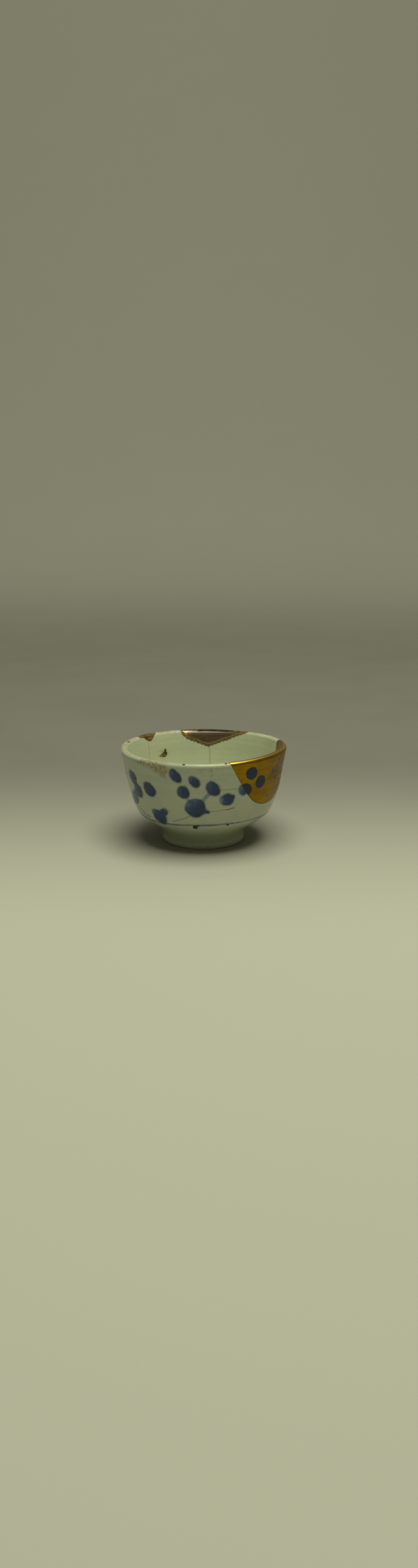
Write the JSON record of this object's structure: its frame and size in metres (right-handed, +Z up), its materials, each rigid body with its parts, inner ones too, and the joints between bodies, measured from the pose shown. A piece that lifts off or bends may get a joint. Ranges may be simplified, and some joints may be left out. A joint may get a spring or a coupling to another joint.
{
  "type": "sake cup",
  "caption": "Small handmade porcelain sake cup with a painted blue leaf pattern, its broken lip mended in gold and brown lacquer.",
  "frame": {"origin": "on the table, under the middle of the cup", "axes": "+Z up out of the mouth, -Y towards the middle of the gold fill"},
  "size_m": [0.065, 0.065, 0.0387],
  "materials": {
    "glazed_porcelain": "glossy grey-white glaze with a blue painted leaf scroll, a blue line at the turn, and small stains and pinholes",
    "gold_lacquer": "satin gold powder over lacquer, burnished at the lip, with a dark seed-head and leaf pattern",
    "brown_lacquer": "semi-gloss dark brown lacquer with fine gold contour lines"
  },
  "bodies": {
    "root": {"porcelain_cup": "glazed_porcelain", "gold_lacquer_fill": "gold_lacquer", "long_rim_fill": "brown_lacquer", "pointed_rim_fill": "brown_lacquer"}
  },
  "joints": []
}
